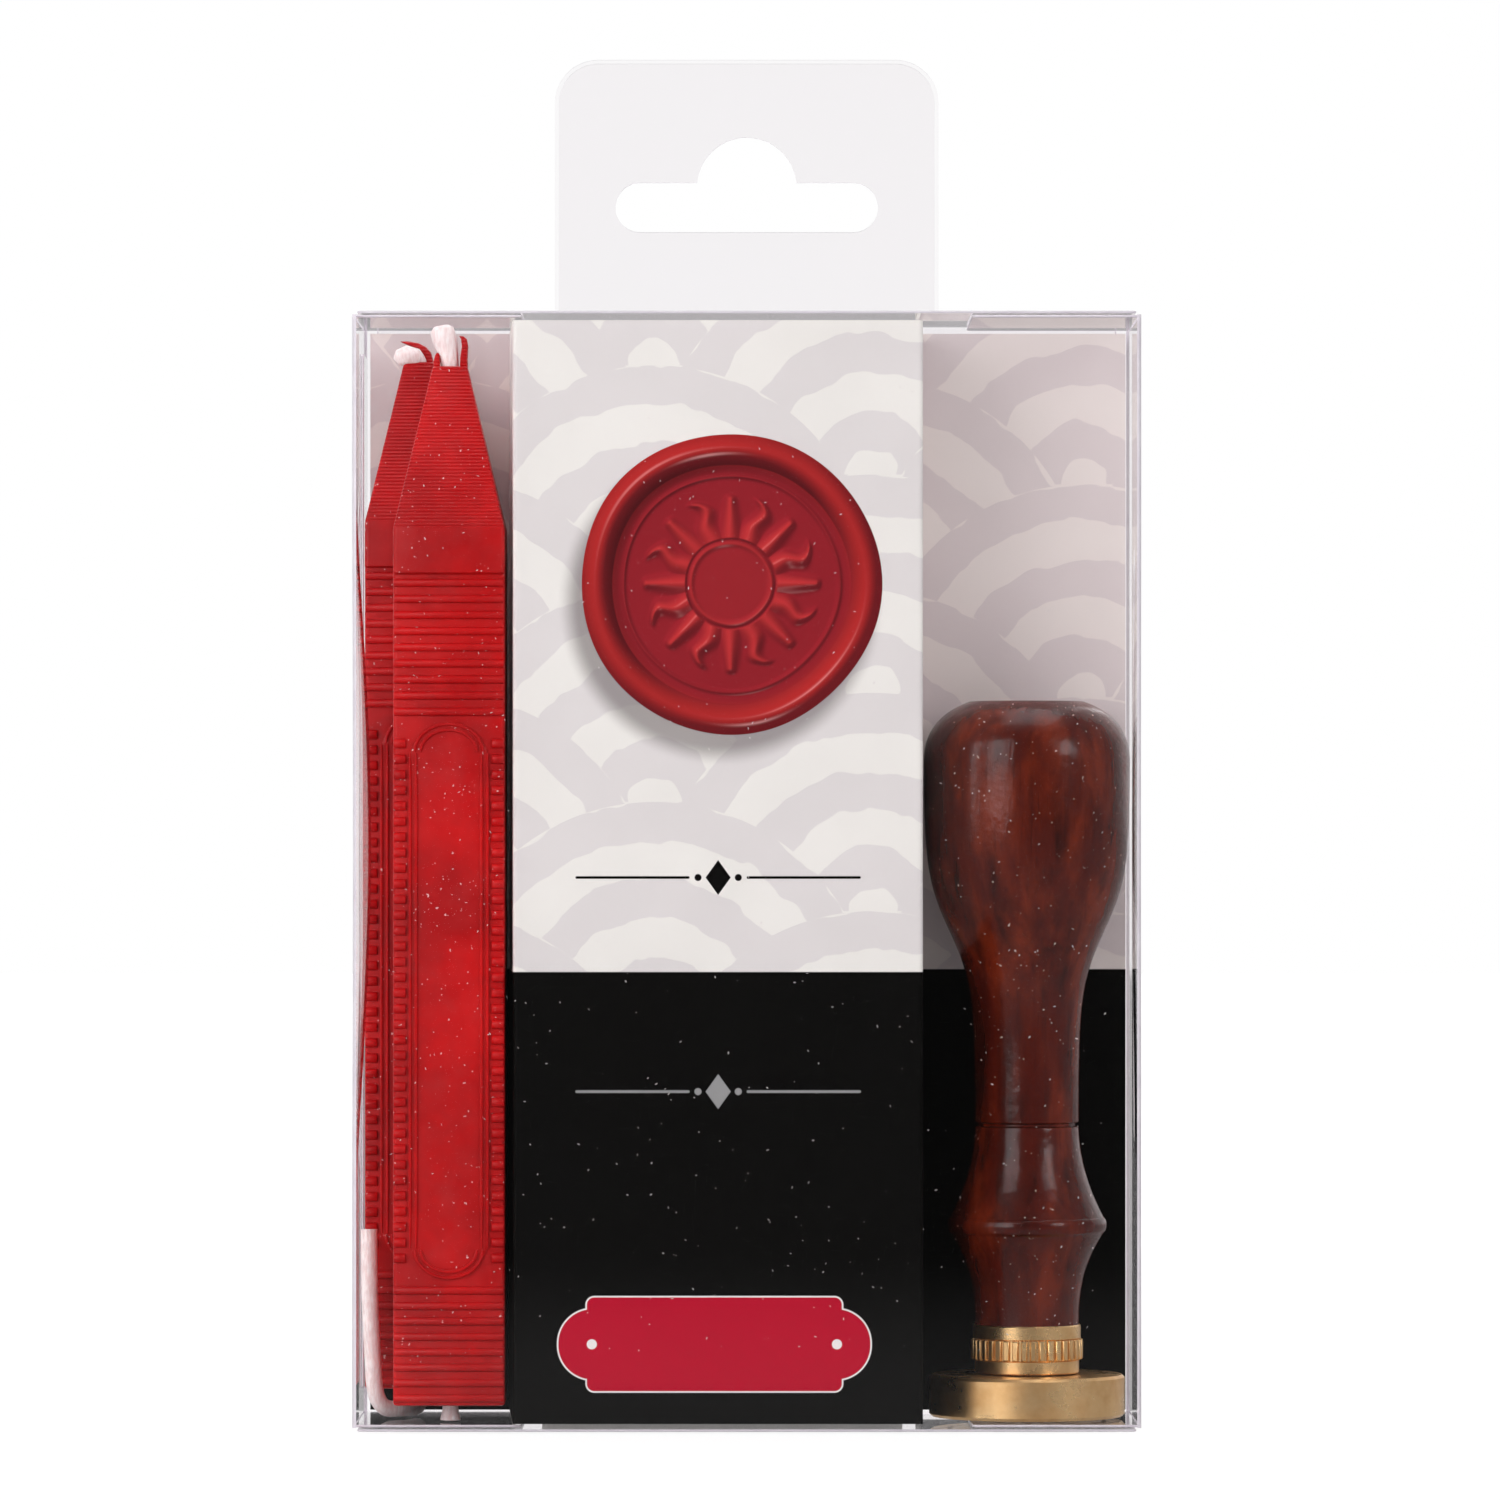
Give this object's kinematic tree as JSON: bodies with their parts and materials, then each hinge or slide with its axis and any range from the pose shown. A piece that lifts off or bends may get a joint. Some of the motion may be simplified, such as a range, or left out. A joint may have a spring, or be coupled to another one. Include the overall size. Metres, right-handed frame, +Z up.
{
  "type": "wax seal set box",
  "caption": "Clear film hang box with a folded printed card, sealing-wax sticks with wicks, a booklet and a turned wooden seal stamp with a screw-on engraved brass disc.",
  "frame": {"origin": "Centre of the box's footprint, on the surface that it stands on.", "axes": "+X to the right as seen from the front, +Y towards the back panel and hang tab, +Z up."},
  "size_m": [0.094, 0.0296, 0.1661],
  "materials": {
    "clear_film": "clear film",
    "printed_card": "printed matt",
    "booklet_paper": "matt",
    "staple_wire": "plain",
    "red_wax": "satin wax",
    "waxed_wick": "waxed cotton",
    "varnished_wood": "gloss varnish",
    "brass": "turned",
    "stud_steel": "plain"
  },
  "bodies": {
    "film_box": {"front_panel": "clear_film", "left_panel": "clear_film", "right_panel": "clear_film", "back_panel": "clear_film", "glue_flap": "clear_film", "hang_tab": "clear_film", "tab_doubler": "clear_film", "card_front": "printed_card", "card_web_left": "printed_card", "card_web_right": "printed_card", "card_wing_left": "printed_card", "card_wing_right": "printed_card", "wax_stick_front": "red_wax", "wax_stick_rear": "red_wax", "wick_front": "waxed_wick", "wick_rear": "waxed_wick", "wick_rear_tail": "waxed_wick"},
    "top_lid": {"top_lid": "clear_film"},
    "top_tuck": {"top_tuck_flap": "clear_film"},
    "top_dust_left": {"top_dust_flap_left": "clear_film"},
    "top_dust_right": {"top_dust_flap_right": "clear_film"},
    "bottom_lid": {"bottom_lid": "clear_film"},
    "bottom_tuck": {"bottom_tuck_flap": "clear_film"},
    "bottom_dust_left": {"bottom_dust_flap_left": "clear_film"},
    "bottom_dust_right": {"bottom_dust_flap_right": "clear_film"},
    "booklet": {"booklet_cover": "booklet_paper", "booklet_pages": "booklet_paper", "booklet_staples": "staple_wire"},
    "seal_head": {"seal_head": "brass"},
    "stud": {"threaded_stud": "stud_steel"},
    "handle": {"stamp_handle": "varnished_wood", "stamp_ferrule": "brass"}
  },
  "joints": [
    {"name": "top_lid_hinge", "type": "hinge", "parent": "film_box", "child": "top_lid", "pos_m": [0, -0.0146, 0.13335], "axis": [1, 0, 0], "range_deg": [0, 170]},
    {"name": "top_tuck_fold", "type": "hinge", "parent": "top_lid", "child": "top_tuck", "pos_m": [0, 0.01285, 0.13335], "axis": [1, 0, 0], "range_deg": [0, 17]},
    {"name": "top_dust_left_fold", "type": "hinge", "parent": "film_box", "child": "top_dust_left", "pos_m": [-0.04685, 0, 0.1329], "axis": [0, -1, 0], "range_deg": [0, 85]},
    {"name": "top_dust_right_fold", "type": "hinge", "parent": "film_box", "child": "top_dust_right", "pos_m": [0.04685, 0, 0.1329], "axis": [0, 1, 0], "range_deg": [0, 85]},
    {"name": "bottom_lid_hinge", "type": "hinge", "parent": "film_box", "child": "bottom_lid", "pos_m": [0, -0.0146, 0.00015], "axis": [-1, 0, 0], "range_deg": [0, 170]},
    {"name": "bottom_tuck_fold", "type": "hinge", "parent": "bottom_lid", "child": "bottom_tuck", "pos_m": [0, 0.01285, 0.00015], "axis": [-1, 0, 0], "range_deg": [0, 17]},
    {"name": "bottom_dust_left_fold", "type": "hinge", "parent": "film_box", "child": "bottom_dust_left", "pos_m": [-0.04685, 0, 0.0006], "axis": [0, 1, 0], "range_deg": [0, 85]},
    {"name": "bottom_dust_right_fold", "type": "hinge", "parent": "film_box", "child": "bottom_dust_right", "pos_m": [0.04685, 0, 0.0006], "axis": [0, -1, 0], "range_deg": [0, 85]},
    {"name": "booklet_lift", "type": "slide", "parent": "film_box", "child": "booklet", "axis": [0, 0, 1], "range_m": [0, 0.026]},
    {"name": "stamp_lift", "type": "slide", "parent": "film_box", "child": "seal_head", "axis": [0, 0, 1], "range_m": [0, 0.044]},
    {"name": "handle_rise", "type": "slide", "parent": "seal_head", "child": "stud", "axis": [0, 0, 1], "range_m": [0, 0.0036]},
    {"name": "handle_unscrew", "type": "hinge", "parent": "stud", "child": "handle", "pos_m": [0.0338, -0.0012, 0.01], "axis": [0, 0, 1], "range_deg": [0, 1260]}
  ],
  "couplings": [
    {"joint": "top_tuck_fold", "follows": "top_lid_hinge", "ratio": 0.1},
    {"joint": "top_dust_left_fold", "follows": "top_lid_hinge", "ratio": 0.5},
    {"joint": "top_dust_right_fold", "follows": "top_lid_hinge", "ratio": 0.5},
    {"joint": "bottom_tuck_fold", "follows": "bottom_lid_hinge", "ratio": 0.1},
    {"joint": "bottom_dust_left_fold", "follows": "bottom_lid_hinge", "ratio": 0.5},
    {"joint": "bottom_dust_right_fold", "follows": "bottom_lid_hinge", "ratio": 0.5},
    {"joint": "handle_rise", "follows": "handle_unscrew", "m_per_rad": 0.00015915}
  ]
}
